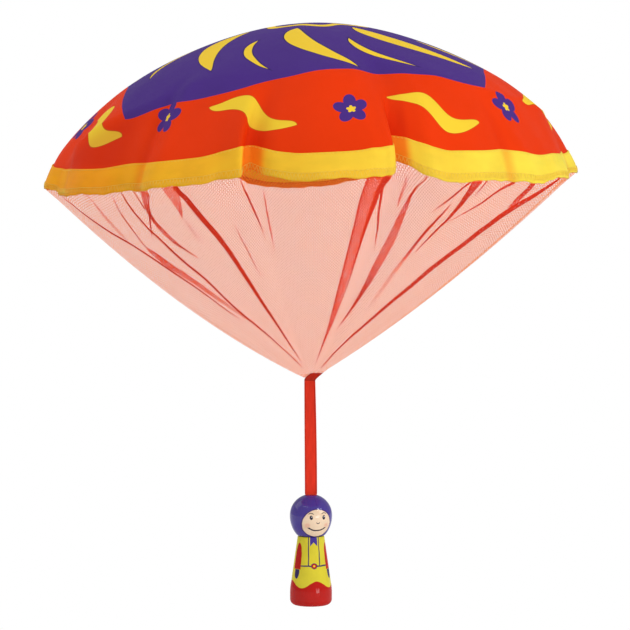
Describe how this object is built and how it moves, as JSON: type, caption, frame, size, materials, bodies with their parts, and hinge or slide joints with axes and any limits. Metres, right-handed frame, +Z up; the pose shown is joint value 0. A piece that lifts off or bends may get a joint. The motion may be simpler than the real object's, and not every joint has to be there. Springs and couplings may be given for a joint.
{
  "type": "toy parachute",
  "caption": "Toy parachute hanging open: domed cloth canopy with folded hem, net cone gathered to a tip, flat ribbon and turned wooden peg figure.",
  "frame": {"origin": "middle of the canopy's crown, where a hand or a hook holds it up", "axes": "+Z up, from the figure through the crown; +X across the pictured view, to its right; -Y towards the viewer"},
  "size_m": [0.5014, 0.5009, 0.5495],
  "materials": {
    "printed_cloth": "smooth woven polyester, printed, satin",
    "hem_tape": "smooth woven polyester, satin",
    "net_mesh": "fine knitted net, see-through",
    "net_bunch": "bunched net",
    "ribbon_red": "woven ribbon, slightly glossy",
    "head_paint": "turned wood under glossy paint",
    "body_paint": "turned wood under glossy paint",
    "pin_wood": "bare turned dowel"
  },
  "bodies": {
    "canopy": {"canopy_cloth": "printed_cloth", "hem_band": "hem_tape", "net_cone": "net_mesh"},
    "net_tip": {"net_gather": "net_bunch", "ribbon_end": "ribbon_red"},
    "upper_ribbon": {"ribbon_upper": "ribbon_red"},
    "lower_ribbon": {"ribbon_lower": "ribbon_red"},
    "figure": {"head": "head_paint", "figure_body": "body_paint", "ribbon_tail": "ribbon_red", "stop_pin": "pin_wood"}
  },
  "joints": [
    {"name": "tip_side_swing", "type": "hinge", "parent": "canopy", "child": "net_tip", "pos_m": [0, 0, -0.32244], "axis": [0, 1, 0], "range_deg": [-35, 35]},
    {"name": "ribbon_front_swing", "type": "hinge", "parent": "net_tip", "child": "upper_ribbon", "pos_m": [0, 0, -0.33709], "axis": [1, 0, 0], "range_deg": [-60, 60]},
    {"name": "ribbon_twist", "type": "hinge", "parent": "upper_ribbon", "child": "lower_ribbon", "pos_m": [0, 0, -0.38821], "axis": [0, 0, 1], "range_deg": [-170, 170]},
    {"name": "figure_nod", "type": "hinge", "parent": "lower_ribbon", "child": "figure", "pos_m": [0, 0, -0.44359], "axis": [1, 0, 0], "range_deg": [-78, 78]}
  ]
}
